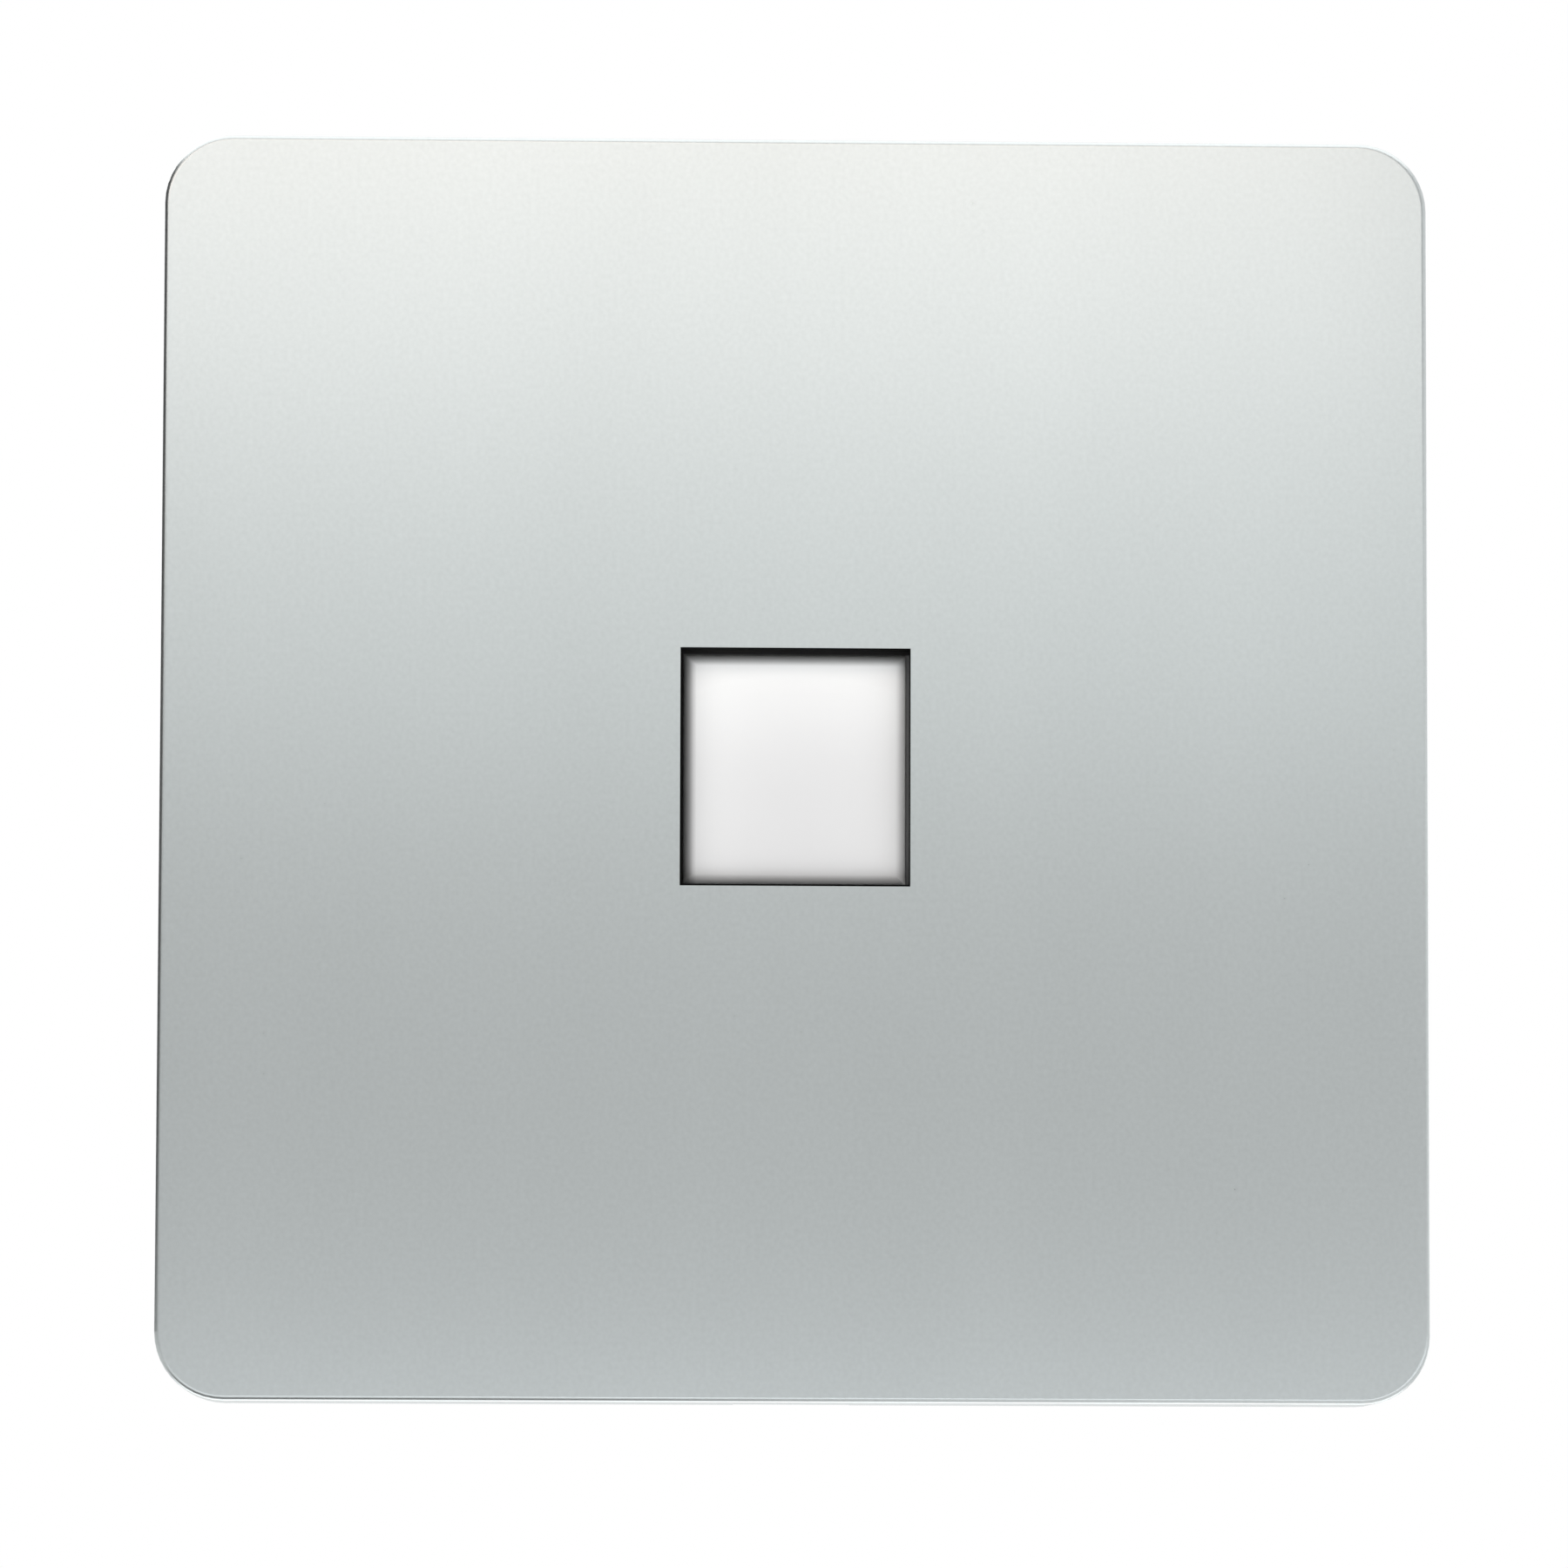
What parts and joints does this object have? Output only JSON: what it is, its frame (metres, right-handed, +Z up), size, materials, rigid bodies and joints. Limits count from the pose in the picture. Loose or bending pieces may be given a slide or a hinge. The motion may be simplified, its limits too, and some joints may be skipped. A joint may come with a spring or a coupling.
{
  "type": "ethernet wall socket",
  "caption": "Square screwless wall plate in satin silver, with a data jack behind a white sliding shutter in its central opening.",
  "frame": {"origin": "middle of the cover's square outline, on the wall plane, midway between the two wall screws", "axes": "+Y into the wall, +Z up, +X to the right seen from the front; the cover's face looks along -Y"},
  "size_m": [0.087, 0.0299, 0.087],
  "materials": {
    "cover_silver": "satin silver with a fine even grain",
    "frame_grey": "fine moulded grain",
    "module_white": "moulded white, semi-gloss",
    "holder_white": "moulded white",
    "shutter_white": "smooth satin white",
    "spring_steel": "bright drawn spring wire",
    "jack_black": "moulded black",
    "carrier_black": "moulded black",
    "contact_gold": "gold over nickel",
    "board_green": "green solder resist",
    "idc_cream": "moulded off-white",
    "idc_tin": "tinned bronze",
    "screw_zinc": "bright zinc plate"
  },
  "bodies": {
    "socket": {"front_plate": "cover_silver", "mounting_frame": "frame_grey", "module_front": "module_white", "jack_holder": "holder_white", "shutter_spring_left": "spring_steel", "shutter_spring_right": "spring_steel", "jack_housing": "jack_black", "contact_carrier": "carrier_black", "jack_contact_1": "contact_gold", "jack_contact_2": "contact_gold", "jack_contact_3": "contact_gold", "jack_contact_4": "contact_gold", "jack_contact_5": "contact_gold", "jack_contact_6": "contact_gold", "jack_contact_7": "contact_gold", "jack_contact_8": "contact_gold", "circuit_board": "board_green", "idc_block_left": "idc_cream", "idc_block_right": "idc_cream", "idc_contact_1": "idc_tin", "idc_contact_2": "idc_tin", "idc_contact_3": "idc_tin", "idc_contact_4": "idc_tin", "idc_contact_5": "idc_tin", "idc_contact_6": "idc_tin", "idc_contact_7": "idc_tin", "idc_contact_8": "idc_tin", "fixing_screw_left": "screw_zinc", "fixing_screw_right": "screw_zinc"},
    "shutter": {"shutter": "shutter_white"}
  },
  "joints": [
    {"name": "shutter_slide", "type": "slide", "parent": "socket", "child": "shutter", "axis": [0, 0, -1], "range_m": [0, 0.0136], "stiffness_N_per_m": 40, "springref_m": -0.004, "deforming": ["shutter_spring_left", "shutter_spring_right"]}
  ]
}
